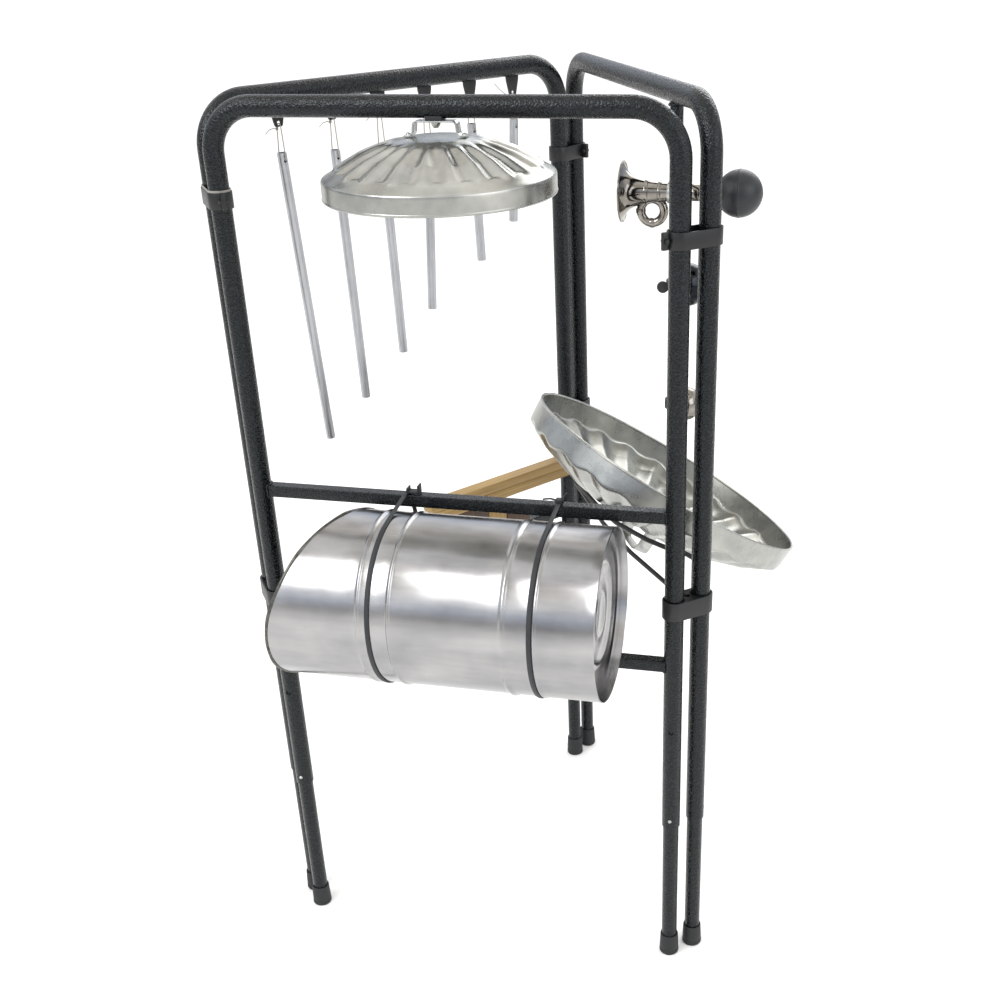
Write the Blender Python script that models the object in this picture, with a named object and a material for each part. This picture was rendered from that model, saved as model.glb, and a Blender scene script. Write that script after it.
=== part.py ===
"""Free-standing junk percussion frame: three bent-tube panels strapped into a
triangle, hung with chimes, two bin lids, a coal hod, a bulb horn, two bells and
a wooden scraper.  World: metres, +Z up, +Y from the front panel to the rear
corner, +X along the front panel."""
import bpy
import bmesh
import math
from mathutils import Matrix, Vector

MM = 0.001

# ---- driving dimensions, millimetres -------------------------------------
SHIFT_X, SHIFT_Y = -47.686, -176.856      # brings the footprint centre to the origin

TUBE_R = 12.7            # panel tube, 25.4 outside
BORE_R = 11.7
PANEL_W = 560.0          # upright centre to upright centre
TOP_Z = 1200.0           # top bar centre
BEND_R = 55.0
TUBE_END_Z = 236.0
SIDES = 16
BEND_STEPS = 4

RAIL = 16.0              # square rail
MID_RAIL_Z = 715.0
LOW_RAIL_Z = 499.0

LEG_R = 11.1
LEG_BORE_R = 10.0
LEG_LOW = 8.3
LEG_TOP = 415.0
HOLE_R = 3.6
HOLE_Z = (249.0, 399.0)
BUTTON_R = 2.9

FOOT_TOP = 34.0

# plan position of the middle of each panel, and its turn
FRONT = (0.0, 0.0, 0.0)
RIGHT_CORNER = (310.5, 26.5)
RIGHT_TURN = 118.5
LEFT_CORNER = (-304.0, 32.5)
LEFT_TURN = 53.8

STRAP_H = 20.0
STRAP_T = 2.0
CLIP_H = 26.0
WRAP_R = 13.3

CHIME_R = 6.25
CHIME_BORE = 4.7
CHIME_HOLE = 2.0
CHIME_S = (100.0, 178.0, 250.0, 325.0, 401.0, 476.0)
CHIME_TOP = (1130.0, 1124.0, 1121.0, 1120.0, 1132.0, 1130.0)
CHIME_LEN = (389.0, 338.0, 284.0, 232.0, 190.0, 142.0)
CHIME_LEAN = (3.4, 1.5, 1.3, -3.4, 1.4, -3.6)
TAB_HOLE_Z = 1165.5
CORD_R = 0.7

LID_R = 136.5
LID_RIM_Z = 1104.0
LID_CROWN = 63.6         # crown above the rim
HANDLE_TOP = 1185.3

DISH_R = 217.0
DISH_C = (224.5, 300.0, 656.0)
DISH_TILT = 32.8

HOD_R = 111.4
HOD_Y, HOD_Z = -67.0, 605.0
HOD_BASE_X = 211.0
MOUTH_X, MOUTH_BACK, MOUTH_UP = -165.0, 45.0, 25.0   # slant of the mouth's plane
TIE_X = (-74.0, 131.0)

POST_S = 115.4
POST_R = 8.0
POST_END_Z = 775.0
HORN_Y, HORN_Z = 107.5, 1090.0
BULB_R = 28.0
COIL_R = 14.5
BELL_Z = 975.0
BELL2_Z = 820.0

# ---- materials -------------------------------------------------------------
PALETTE = {
    "hammered_frame": ((0.055, 0.060, 0.066), 0.35, 0.55),
    "black_strap": ((0.020, 0.020, 0.022), 0.2, 0.5),
    "black_rubber": ((0.018, 0.018, 0.018), 0.0, 0.8),
    "brushed_aluminium": ((0.55, 0.56, 0.58), 1.0, 0.4),
    "galvanised_tin": ((0.62, 0.64, 0.66), 1.0, 0.28),
    "plated_steel": ((0.70, 0.71, 0.73), 1.0, 0.18),
    "white_cord": ((0.72, 0.68, 0.60), 0.0, 0.8),
    "pale_wood": ((0.62, 0.45, 0.24), 0.0, 0.6),
    "dark_wood": ((0.07, 0.04, 0.02), 0.0, 0.6),
}


def material(name):
    m = bpy.data.materials.get(name)
    if m:
        return m
    col, metal, rough = PALETTE[name]
    m = bpy.data.materials.new(name)
    m.use_nodes = True
    b = m.node_tree.nodes["Principled BSDF"]
    b.inputs["Base Color"].default_value = (*col, 1.0)
    b.inputs["Metallic"].default_value = metal
    b.inputs["Roughness"].default_value = rough
    return m


for o in list(bpy.data.objects):
    bpy.data.objects.remove(o, do_unlink=True)


# ---- frames of reference -----------------------------------------------------
def world(x=0.0, y=0.0, z=0.0, turn=0.0):
    return (Matrix.Translation(((x + SHIFT_X) * MM, (y + SHIFT_Y) * MM, z * MM))
            @ Matrix.Rotation(math.radians(turn), 4, "Z"))


def panel_middle(corner, turn, sign):
    a = math.radians(turn)
    return (corner[0] + sign * math.cos(a) * PANEL_W / 2,
            corner[1] + sign * math.sin(a) * PANEL_W / 2)


RX, RY = panel_middle(RIGHT_CORNER, RIGHT_TURN, 1)
LX, LY = panel_middle(LEFT_CORNER, LEFT_TURN, 1)
FRAMES = {
    "front": world(0, 0, 0, 0),
    "right": world(RX, RY, 0, RIGHT_TURN),
    "left": world(LX, LY, 0, LEFT_TURN + 180.0),
}
WORLD = world()


def finish(name, bm, mat, frame=WORLD, origin=(0, 0, 0), spin=None):
    """bm is in millimetres in `frame`; `origin` is the object's own origin there."""
    bmesh.ops.remove_doubles(bm, verts=bm.verts, dist=0.001)
    bmesh.ops.recalc_face_normals(bm, faces=bm.faces)
    o = Vector(origin)
    for v in bm.verts:
        v.co = (v.co - o) * MM
    me = bpy.data.meshes.new(name)
    bm.to_mesh(me)
    bm.free()
    ob = bpy.data.objects.new(name, me)
    bpy.context.scene.collection.objects.link(ob)
    m = frame @ Matrix.Translation(o * MM)
    if spin is not None:
        m = m @ spin
    ob.location = m.to_translation()
    ob.rotation_euler = m.to_euler()
    me.materials.append(material(mat))
    return ob


# ---- solid builders (all millimetres) ------------------------------------------
def ring_solid(rings, closed=False):
    """Skin a list of equal point rings; capped at both ends unless closed."""
    bm = bmesh.new()
    rows = [[bm.verts.new(p) for p in ring] for ring in rings]
    n = len(rows[0])
    pairs = list(zip(rows, rows[1:]))
    if closed:
        pairs.append((rows[-1], rows[0]))
    for a, b in pairs:
        for i in range(n):
            j = (i + 1) % n
            bm.faces.new((a[i], a[j], b[j], b[i]))
    if not closed:
        bm.faces.new(rows[0][::-1])
        bm.faces.new(rows[-1])
    bmesh.ops.recalc_face_normals(bm, faces=bm.faces)
    return bm


def circle(c, e1, e2, r, n):
    c, e1, e2 = Vector(c), Vector(e1), Vector(e2)
    return [c + e1 * (r * math.cos(2 * math.pi * i / n)) + e2 * (r * math.sin(2 * math.pi * i / n))
            for i in range(n)]


def sweep(points, r, n=SIDES, side=(0, 1, 0), closed=False):
    """Round bar along a path whose plane has normal close to `side`."""
    pts = [Vector(p) for p in points]
    rings = []
    m = len(pts)
    for i, p in enumerate(pts):
        if closed:
            t = (pts[(i + 1) % m] - p).normalized() + (p - pts[i - 1]).normalized()
        elif i == 0:
            t = pts[1] - p
        elif i == m - 1:
            t = p - pts[-2]
        else:
            t = (pts[i + 1] - p).normalized() + (p - pts[i - 1]).normalized()
        t.normalize()
        s = Vector(side)
        s = (s - t * s.dot(t)).normalized()
        up = t.cross(s)
        stretch = 1.0
        if (closed or 0 < i < m - 1):
            d = (p - pts[i - 1]).normalized()
            stretch = 1.0 / max(0.5, abs(d.dot(t)))
        rings.append([p + s * (r * math.cos(2 * math.pi * k / n))
                      + up * (r * stretch * math.sin(2 * math.pi * k / n)) for k in range(n)])
    return ring_solid(rings, closed)


def rod(a, b, r, n=SIDES, side=(0, 1, 0)):
    return sweep([a, b], r, n, side)


def box(x0, x1, y0, y1, z0, z1):
    ring = lambda z: [Vector(p) for p in ((x0, y0, z), (x1, y0, z), (x1, y1, z), (x0, y1, z))]
    return ring_solid([ring(z0), ring(z1)])


def prism(poly, z0, z1):
    return ring_solid([[Vector((x, y, z)) for x, y in poly] for z in (z0, z1)])


def lathe(profile, n, axis="Z", centre=(0, 0, 0)):
    """profile: closed loop of (radius, height); points on the axis are merged."""
    bm = bmesh.new()
    rows = []
    for r, h in profile:
        if r < 1e-6:
            rows.append([bm.verts.new((0, 0, h))])
        else:
            rows.append([bm.verts.new((r * math.cos(2 * math.pi * i / n),
                                       r * math.sin(2 * math.pi * i / n), h)) for i in range(n)])
    m = len(rows)
    for k in range(m):
        a, b = rows[k], rows[(k + 1) % m]
        if len(a) == 1 and len(b) == 1:
            continue
        for i in range(n):
            j = (i + 1) % n
            if len(a) == 1:
                bm.faces.new((a[0], b[j], b[i]))
            elif len(b) == 1:
                bm.faces.new((a[i], a[j], b[0]))
            else:
                bm.faces.new((a[i], a[j], b[j], b[i]))
    bmesh.ops.recalc_face_normals(bm, faces=bm.faces)
    if axis == "X":
        bmesh.ops.transform(bm, matrix=Matrix.Rotation(math.pi / 2, 4, "Y"), verts=bm.verts)
    elif axis == "-Y":
        bmesh.ops.transform(bm, matrix=Matrix.Rotation(math.pi / 2, 4, "X"), verts=bm.verts)
    bmesh.ops.translate(bm, verts=bm.verts, vec=Vector(centre))
    return bm


def temp(bm):
    bmesh.ops.recalc_face_normals(bm, faces=bm.faces)
    me = bpy.data.meshes.new("temp")
    bm.to_mesh(me)
    bm.free()
    ob = bpy.data.objects.new("temp", me)
    bpy.context.scene.collection.objects.link(ob)
    return ob


def combine(base, steps):
    """steps: list of ('UNION'|'DIFFERENCE', bmesh). Works in millimetres / 100."""
    k = 0.01
    bmesh.ops.scale(base, vec=(k, k, k), verts=base.verts)
    ob = temp(base)
    for op, other in steps:
        bmesh.ops.scale(other, vec=(k, k, k), verts=other.verts)
        cut = temp(other)
        mod = ob.modifiers.new("b", "BOOLEAN")
        mod.operation = op
        mod.solver = "EXACT"
        mod.object = cut
        bpy.context.view_layer.update()
        dg = bpy.context.evaluated_depsgraph_get()
        me = bpy.data.meshes.new_from_object(ob.evaluated_get(dg))
        old = ob.data
        ob.modifiers.clear()
        ob.data = me
        bpy.data.meshes.remove(old)
        cm = cut.data
        bpy.data.objects.remove(cut, do_unlink=True)
        bpy.data.meshes.remove(cm)
    bm = bmesh.new()
    bm.from_mesh(ob.data)
    me = ob.data
    bpy.data.objects.remove(ob, do_unlink=True)
    bpy.data.meshes.remove(me)
    bmesh.ops.scale(bm, vec=(1 / k, 1 / k, 1 / k), verts=bm.verts)
    bmesh.ops.dissolve_degenerate(bm, dist=0.002, edges=bm.edges)
    return bm


# ---- the three bent-tube panels ---------------------------------------------------
def hoop_path(end_z):
    h = PANEL_W / 2
    pts = [(-h, 0, end_z)]
    for i in range(BEND_STEPS + 1):
        a = math.pi - (math.pi / 2) * i / BEND_STEPS
        pts.append((-h + BEND_R + BEND_R * math.cos(a), 0, TOP_Z - BEND_R + BEND_R * math.sin(a)))
    for i in range(BEND_STEPS + 1):
        a = math.pi / 2 - (math.pi / 2) * i / BEND_STEPS
        pts.append((h - BEND_R + BEND_R * math.cos(a), 0, TOP_Z - BEND_R + BEND_R * math.sin(a)))
    pts.append((h, 0, end_z))
    return pts


def rail(z):
    h = RAIL / 2
    return box(-PANEL_W / 2, PANEL_W / 2, -h, h, z - h, z + h)


def panel_steps(extra):
    steps = list(extra)
    steps.append(("DIFFERENCE", sweep(hoop_path(TUBE_END_Z - 20.0), BORE_R)))
    for x in (-PANEL_W / 2, PANEL_W / 2):
        for z in HOLE_Z:
            steps.append(("DIFFERENCE", rod((x, -TUBE_R - 6, z), (x, -2.0, z), HOLE_R, 8, (1, 0, 0))))
    return steps


front = combine(sweep(hoop_path(TUBE_END_Z), TUBE_R), panel_steps([
    ("UNION", rail(MID_RAIL_Z)),
    ("UNION", rail(LOW_RAIL_Z)),
]) + [("DIFFERENCE", rod((0, 0, TOP_Z - 30), (0, 0, TOP_Z), 3.6, 8, (1, 0, 0)))])
finish("front_frame", front, "hammered_frame", FRAMES["front"])


def tab(x):
    half = 1.5
    poly = [(x - 11, TOP_Z - TUBE_R + 2.2), (x + 11, TOP_Z - TUBE_R + 2.2), (x + 5.5, 1160.5), (x - 5.5, 1160.5)]
    return ring_solid([[Vector((px, y, pz)) for px, pz in poly] for y in (-half, half)])


def left_x(s):
    return PANEL_W / 2 - s


left_extra = [("UNION", rail(LOW_RAIL_Z))]
for s in CHIME_S:
    left_extra.append(("UNION", tab(left_x(s))))
left_steps = panel_steps(left_extra)
for s in CHIME_S:
    left_steps.append(("DIFFERENCE", rod((left_x(s), -5, TAB_HOLE_Z), (left_x(s), 5, TAB_HOLE_Z), 2.6, 8, (1, 0, 0))))
finish("left_frame", combine(sweep(hoop_path(TUBE_END_Z), TUBE_R), left_steps), "hammered_frame", FRAMES["left"])


def right_x(s):
    return s - PANEL_W / 2


# the inner post hangs from the right panel's top bar, short of the dish
post_x = right_x(POST_S)
post = rod((post_x, 0, TOP_Z - TUBE_R + 0.6), (post_x, 0, POST_END_Z), POST_R, 12)

# the dish cradle: two bowed rods welded between the right panel's uprights
LOW_ROD = [(8.0, 0, 560), (109, -9, 560), (163, -17, 560), (217, -25, 560), (330, -33, 560),
           (405, -31, 560), (490, -29, 560), (508, -24, 560), (522, -10, 560), (552, 0, 560)]
HIGH_ROD = [(8.0, -2, 640), (35, -9, 640), (59, -27, 640), (90, -43, 640), (130, -57, 640), (157, -66, 640),
            (225, -74, 640), (280, -77, 640), (335, -74, 640), (403, -66, 640), (450, -50, 640), (490, -24, 640),
            (518, -7, 640), (552, -1, 640)]


def cradle_path(rows):
    return [(right_x(s), -n, z) for s, n, z in rows]


right_extra = [
    ("UNION", post),
    ("UNION", sweep(cradle_path(LOW_ROD), 3.4, 8, (0, 0, 1))),
    ("UNION", sweep(cradle_path(HIGH_ROD), 3.4, 8, (0, 0, 1))),
]
finish("right_frame", combine(sweep(hoop_path(TUBE_END_Z), TUBE_R), panel_steps(right_extra)),
       "hammered_frame", FRAMES["right"])

# ---- legs, feet, snap buttons --------------------------------------------------------
UPRIGHTS = [
    ("front_left", "front", -PANEL_W / 2), ("front_right", "front", PANEL_W / 2),
    ("right_front", "right", -PANEL_W / 2), ("right_rear", "right", PANEL_W / 2),
    ("left_rear", "left", -PANEL_W / 2), ("left_front", "left", PANEL_W / 2),
]
for tag, fr, x in UPRIGHTS:
    leg = combine(rod((x, 0, LEG_LOW), (x, 0, LEG_TOP), LEG_R), [
        ("DIFFERENCE", rod((x, 0, LEG_LOW - 5), (x, 0, LEG_TOP + 5), LEG_BORE_R)),
        ("DIFFERENCE", rod((x, -TUBE_R - 4, HOLE_Z[0]), (x, -2, HOLE_Z[0]), HOLE_R, 8, (1, 0, 0))),
    ])
    finish("leg_" + tag, leg, "hammered_frame", FRAMES[fr], (x, 0, TUBE_END_Z))
    foot = lathe([(0, 0), (13.2, 0), (14.4, 1.6), (13.9, 14), (12.9, FOOT_TOP), (11.5, FOOT_TOP),
                  (11.5, LEG_LOW - 0.3), (0, LEG_LOW - 0.3)], SIDES, "Z", (x, 0, 0))
    bmesh.ops.rotate(foot, verts=foot.verts, cent=(x, 0, 0), matrix=Matrix.Rotation(math.pi / 2, 3, "Z"))
    finish("foot_" + tag, foot, "black_rubber", FRAMES[fr], (x, 0, 0))
    z = HOLE_Z[0]
    pin = sweep([(x, -14.4, z), (x, -13.6, z), (x, -6.5, z)], BUTTON_R, 8, (1, 0, 0))
    leaf = ring_solid([[Vector((x + dx, y, zz)) for dx, y, zz in
                        ((-3, y0, z0), (3, y0, z0), (3, y1, z1), (-3, y1, z1))]
                       for (y0, z0, y1, z1) in ((-8.6, z - 5, -7.4, z - 5), (-8.6, z + 5, -7.4, z + 5),
                                                (1.6, z + 42, 2.8, z + 41.4), (3.4, z + 46, 4.4, z + 44.6))])
    finish("button_" + tag, combine(pin, [("UNION", leaf)]), "plated_steel", FRAMES[fr], (x, -12, z))


# ---- corner straps and clips ------------------------------------------------------------
def upright(frame, x):
    p = FRAMES[frame] @ Vector((x * MM, 0, 0))
    return Vector((p.x / MM - SHIFT_X, p.y / MM - SHIFT_Y))


def stadium(p, q, r, n=8):
    d = (q - p).normalized()
    a0 = math.atan2(d.y, d.x)
    pts = []
    for c, base in ((q, a0 - math.pi / 2), (p, a0 + math.pi / 2)):
        for i in range(n + 1):
            a = base + math.pi * i / n
            pts.append((c.x + r * math.cos(a), c.y + r * math.sin(a)))
    return pts


def band(inner, outer, z0, z1):
    rows = []
    for poly, z in ((inner, z0), (outer, z0), (outer, z1), (inner, z1)):
        rows.append([Vector((x, y, z)) for x, y in poly])
    return ring_solid(rows, closed=True)


CORNERS = [
    ("front_left", ("front", -PANEL_W / 2), ("left", PANEL_W / 2), 1093.0, 552.0),
    ("front_right", ("front", PANEL_W / 2), ("right", -PANEL_W / 2), 1059.0, 586.0),
    ("rear", ("left", -PANEL_W / 2), ("right", PANEL_W / 2), 1073.0, 668.0),
]
for tag, a, b, zs, zc in CORNERS:
    p, q = upright(*a), upright(*b)
    mid = (p + q) / 2
    d = (q - p).normalized()
    nrm = Vector((-d.y, d.x))
    ring = band(stadium(p, q, WRAP_R), stadium(p, q, WRAP_R + STRAP_T), zs - STRAP_H / 2, zs + STRAP_H / 2)
    # the strap's two ends meet in a square tab with a pinch bolt through it
    corner, away = (q, -nrm) if tag == "rear" else (p, -d)
    across = Vector((-away.y, away.x))
    outline = [corner + away * e + across * w for e, w in ((14.0, -2.6), (24.0, -2.6), (24.0, 2.6), (14.0, 2.6))]
    ears = prism(outline, zs - STRAP_H / 2, zs + STRAP_H / 2)
    eye = corner + away * 19.6
    e0, e1 = eye - across * 6.0, eye + across * 6.0
    bolt = rod((e0.x, e0.y, zs), (e1.x, e1.y, zs), 3.0, 6, (0, 0, 1))
    finish("strap_" + tag, combine(ring, [("UNION", ears), ("UNION", bolt)]), "black_strap", WORLD, (mid.x, mid.y, zs))
    block = prism(stadium(p, q, WRAP_R + 2.6), zc - CLIP_H / 2, zc + CLIP_H / 2)
    lo, hi = zc - CLIP_H, zc + CLIP_H
    cuts = [("DIFFERENCE", rod((c.x, c.y, lo), (c.x, c.y, hi), WRAP_R)) for c in (p, q)]
    cuts.append(("DIFFERENCE", rod((mid.x, mid.y, lo), (mid.x, mid.y, hi), 4.0, 8)))
    finish("clip_" + tag, combine(block, cuts), "black_strap", WORLD, (mid.x, mid.y, zc))

# ---- chimes and their cord loops ------------------------------------------------------------
for i, (s, top, length, lean) in enumerate(zip(CHIME_S, CHIME_TOP, CHIME_LEN, CHIME_LEAN), 1):
    x = left_x(s)
    cord_z = top - 9.0
    hole_z = cord_z - (CHIME_HOLE - CORD_R - 0.35)
    tube = combine(rod((x, 0, top), (x, 0, top - length), CHIME_R, 12), [
        ("DIFFERENCE", rod((x, 0, top + 5), (x, 0, top - length - 5), CHIME_BORE, 12)),
        ("DIFFERENCE", rod((x, -12, hole_z), (x, 12, hole_z), CHIME_HOLE * 1.03, 8, (1, 0, 0))),
    ])
    finish("chime_%d" % i, tube, "brushed_aluminium", FRAMES["left"], (x, 0, cord_z),
           Matrix.Rotation(math.radians(lean), 4, "Y"))
    zt = TAB_HOLE_Z - 0.8
    loop = [(x, -2.2, zt), (x, 2.2, zt), (x, 4.4, zt - 2.4), (x, 5.0, zt - 6), (x, 8.0, cord_z + 6),
            (x, 7.8, cord_z + 1.4), (x, 6.6, cord_z), (x, -6.6, cord_z), (x, -7.8, cord_z + 1.4),
            (x, -8.0, cord_z + 6), (x, -5.0, zt - 6), (x, -4.4, zt - 2.4)]
    finish("cord_%d" % i, sweep(loop, CORD_R, 6, (1, 0, 0), True), "white_cord", FRAMES["left"], (x, 0, zt))


# ---- bin lids --------------------------------------------------------------------------------
def lid(profile, flutes, wave, thick):
    """profile rows (r, z, wave share) from centre to rim, outer skin; dome up."""
    n = flutes * 2
    bm = bmesh.new()

    def skin(off):
        rows = []
        for k, (r, z, w) in enumerate(profile):
            a = profile[max(0, k - 1)]
            b = profile[min(len(profile) - 1, k + 1)]
            t = Vector((b[0] - a[0], b[1] - a[1])).normalized()
            nr, nz = -t.y, t.x
            rr, zz = r - nr * off, z - nz * off
            if k == len(profile) - 1:
                zz = z
            if r < 1e-6:
                rows.append([bm.verts.new((0, 0, z - off))])
                continue
            ring = []
            for i in range(n):
                a2 = 2 * math.pi * i / n
                dz = wave * w * (1 if i % 2 else -1)
                ring.append(bm.verts.new((rr * math.cos(a2), rr * math.sin(a2), zz + dz)))
            rows.append(ring)
        return rows
    outer, inner = skin(0.0), skin(thick)
    for rows, flip in ((outer, False), (inner, True)):
        for a, b in zip(rows, rows[1:]):
            for i in range(n):
                j = (i + 1) % n
                if len(a) == 1:
                    f = (a[0], b[i], b[j])
                else:
                    f = (a[i], b[i], b[j], a[j])
                bm.faces.new(f[::-1] if flip else f)
    for i in range(n):
        j = (i + 1) % n
        bm.faces.new((outer[-1][i], inner[-1][i], inner[-1][j], outer[-1][j]))
    bmesh.ops.recalc_face_normals(bm, faces=bm.faces)
    return bm


HANG_PROFILE = [(0, LID_CROWN, 0), (42, 62.6, 0), (60, 58.0, 0.9), (92, 46.0, 1.0), (116, 33.5, 1.0), (126, 27.2, 0.2),
                (134.6, 22.5, 0), (LID_R, 0, 0)]
hang = lid(HANG_PROFILE, 22, 2.2, 1.3)
bmesh.ops.translate(hang, verts=hang.verts, vec=(0, 0, LID_RIM_Z))
finish("hanging_lid", hang, "galvanised_tin", FRAMES["front"], (0, 0, LID_RIM_Z + LID_CROWN))


def strap_handle(half, foot, low, high, width, t):
    """Flat bar bent to a bridge: feet at z=low, crown top at z=high."""
    outer = [(-half - foot, low + t), (-half, low + t), (-half, high - 5), (-half + 5, high), (half - 5, high),
             (half, high - 5), (half, low + t), (half + foot, low + t)]
    inner = [(-half - foot, low), (-half + t, low), (-half + t, high - 5 - t * 0.4), (-half + 5 + t * 0.4, high - t),
             (half - 5 - t * 0.4, high - t), (half - t, high - 5 - t * 0.4), (half - t, low), (half + foot, low)]
    w = width / 2
    bm = bmesh.new()
    rows = []
    for (ox, oz), (ix, iz) in zip(outer, inner):
        rows.append([bm.verts.new(p) for p in ((ox, -w, oz), (ox, w, oz), (ix, w, iz), (ix, -w, iz))])
    for a, b in zip(rows, rows[1:]):
        for i in range(4):
            j = (i + 1) % 4
            bm.faces.new((a[i], a[j], b[j], b[i]))
    bm.faces.new(rows[0][::-1])
    bm.faces.new(rows[-1])
    bmesh.ops.recalc_face_normals(bm, faces=bm.faces)
    return bm


hz = LID_RIM_Z + LID_CROWN
handle = combine(strap_handle(26.0, 11.0, hz + 0.4, HANDLE_TOP, 16.0, 1.8),
                 [("DIFFERENCE", rod((0, 0, 1170), (0, 0, 1190), 3.5, 8, (1, 0, 0)))])
finish("lid_handle", handle, "galvanised_tin", FRAMES["front"], (0, 0, HANDLE_TOP))
saddle = combine(box(-10, 10, -9, 9, HANDLE_TOP + 0.3, 1190.8), [
    ("DIFFERENCE", rod((-20, 0, TOP_Z), (20, 0, TOP_Z), TUBE_R + 0.55)),
    ("DIFFERENCE", rod((0, 0, 1175), (0, 0, 1195), 3.5, 8, (1, 0, 0))),
])
finish("lid_saddle", saddle, "black_rubber", FRAMES["front"], (0, 0, HANDLE_TOP + 0.3))
bolt = combine(rod((0, 0, 1176.7), (0, 0, 1193.0), 3.0, 8, (1, 0, 0)),
               [("UNION", rod((0, 0, 1177.5), (0, 0, 1183.2), 6.0, 6, (1, 0, 0)))])
finish("lid_bolt", bolt, "plated_steel", FRAMES["front"], (0, 0, 1183.2))

DISH_PROFILE = [(0, 87.0, 0), (66, 85.8, 0), (92, 81.5, 0.8), (142, 67.0, 1.0), (188, 48.5, 1.0), (205, 39.0, 0.2),
                (213.5, 33.5, 0), (DISH_R, 0, 0)]
# dome down, leaning outwards square to the right panel
tilt_axis_turn = RIGHT_TURN - 90.0
DISH_FRAME = (world(DISH_C[0], DISH_C[1], DISH_C[2], tilt_axis_turn)
              @ Matrix.Rotation(math.radians(DISH_TILT), 4, "Y")
              @ Matrix.Rotation(math.pi, 4, "X"))
finish("dish_lid", lid(DISH_PROFILE, 24, 2.0, 1.4), "galvanised_tin", DISH_FRAME)
dish_handle = strap_handle(40.0, 12.0, 87.4, 126.0, 22.0, 2.0)
bmesh.ops.rotate(dish_handle, verts=dish_handle.verts, cent=(0, 0, 0), matrix=Matrix.Rotation(math.pi / 2, 3, "Z"))
bmesh.ops.translate(dish_handle, verts=dish_handle.verts, vec=(12.0, 0, 0))
finish("dish_handle", dish_handle, "galvanised_tin", DISH_FRAME, (12.0, 0, 88.4))

# ---- coal hod and its two ties ------------------------------------------------------------------
R = HOD_R
t = 1.3
X1 = HOD_BASE_X
hod_profile = [(0, X1 - 15), (R - 5, X1 - 15), (R - 1.2, X1 - 13), (R - 1.2, X1), (R + 0.0, X1), (R + 0.0, X1 - 17),
               (R, 101), (R + 2.4, 97), (R, 93), (R, -43), (R + 2.4, -47), (R, -51), (R, -83), (R + 2.4, -87),
               (R, -91), (R, -255), (R - t, -255), (R - t, -92), (R + 1.1, -87), (R - t, -82), (R - t, -52),
               (R + 1.1, -47), (R - t, -42), (R - t, 92), (R + 1.1, 97), (R - t, 102), (R - t - 0.6, X1 - 17.5),
               (R - 6, X1 - 16.4), (0, X1 - 16.4)]
hod = lathe(hod_profile, 24, "X", (0, HOD_Y, HOD_Z))
# the mouth is cut on the slant: deepest lip low and to the front
cut_n = Vector((-1.0, MOUTH_BACK / R, MOUTH_UP / R)).normalized()
cut_p = Vector((MOUTH_X, HOD_Y, HOD_Z))
side = Vector((0, 1, 0)) - cut_n * cut_n.y
side.normalize()
up = cut_n.cross(side)
far = 400.0
quad = [cut_p + side * a + up * b for a, b in ((-far, -far), (far, -far), (far, far), (-far, far))]
cutter = ring_solid([quad, [v + cut_n * far for v in quad]])
finish("hod", combine(hod, [("DIFFERENCE", cutter)]), "galvanised_tin", FRAMES["front"], (0, HOD_Y, HOD_Z))


def hull(points):
    pts = sorted(set((round(a, 4), round(b, 4)) for a, b in points))

    def half(seq):
        out = []
        for p in seq:
            while len(out) > 1 and ((out[-1][0] - out[-2][0]) * (p[1] - out[-2][1])
                                    - (out[-1][1] - out[-2][1]) * (p[0] - out[-2][0])) <= 0:
                out.pop()
            out.append(p)
        return out[:-1]
    return half(pts) + half(pts[::-1])


def offset(poly, d):
    out = []
    n = len(poly)
    for i in range(n):
        a, p, b = Vector(poly[i - 1]), Vector(poly[i]), Vector(poly[(i + 1) % n])
        n1 = (p - a).normalized()
        n2 = (b - p).normalized()
        m = (Vector((n1.y, -n1.x)) + Vector((n2.y, -n2.x))).normalized()
        c = max(0.4, m.dot(Vector((n1.y, -n1.x))))
        q = p + m * (d / c)
        out.append((q.x, q.y))
    return out


wrap = HOD_R + 0.35
rail_half = RAIL / 2 + 0.35
angles = [2 * math.pi * i / 24 for i in range(24)]
around = [(HOD_Y + wrap * math.cos(a), HOD_Z + wrap * math.sin(a)) for a in angles]
around += [(sy * rail_half, MID_RAIL_Z + sz * rail_half) for sy in (-1, 1) for sz in (-1, 1)]
inner = hull(around)
for i, x in enumerate(TIE_X, 1):
    outer = offset(inner, 1.4)
    w = 3.4
    rows = [[Vector((xx, y, z)) for y, z in poly] for poly, xx in
            ((inner, x - w), (outer, x - w), (outer, x + w), (inner, x + w))]
    finish("hod_tie_%d" % i, ring_solid(rows, closed=True), "black_strap", FRAMES["front"], (x, 0, MID_RAIL_Z))

# ---- bulb horn on the inner post ---------------------------------------------------------------------
pw = FRAMES["right"] @ Vector((post_x * MM, 0, 0))
PX, PY = pw.x / MM - SHIFT_X, pw.y / MM - SHIFT_Y
hx = PX - 62.0
horn_profile = [(0, hx + 46), (5.0, hx + 44), (8.0, hx + 30), (13.5, hx + 15), (22.0, hx + 5), (34.6, hx),
                (36.0, hx + 0.6), (36.0, hx + 2.0), (25.0, hx + 7), (17.6, hx + 17), (13.2, hx + 31),
                (11.2, hx + 46), (9.4, hx + 84), (9.8, hx + 87), (9.5, hx + 95), (5.2, hx + 97), (5.2, hx + 110),
                (0, hx + 110)]
horn = lathe(horn_profile, 16, "X", (0, HORN_Y, HORN_Z))
lc = (hx + 37.0, HORN_Y, HORN_Z - 22.0)
angles = [2 * math.pi * k / 14 for k in range(14)]
loop = [(lc[0] + COIL_R * math.cos(a), lc[1], lc[2] + COIL_R * math.sin(a)) for a in angles]
finish("horn", combine(horn, [("UNION", sweep(loop, 4.9, 8, (0, 1, 0), True))]), "plated_steel", WORLD,
       (PX, HORN_Y, HORN_Z))
bulb_x = hx + 141.0
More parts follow.
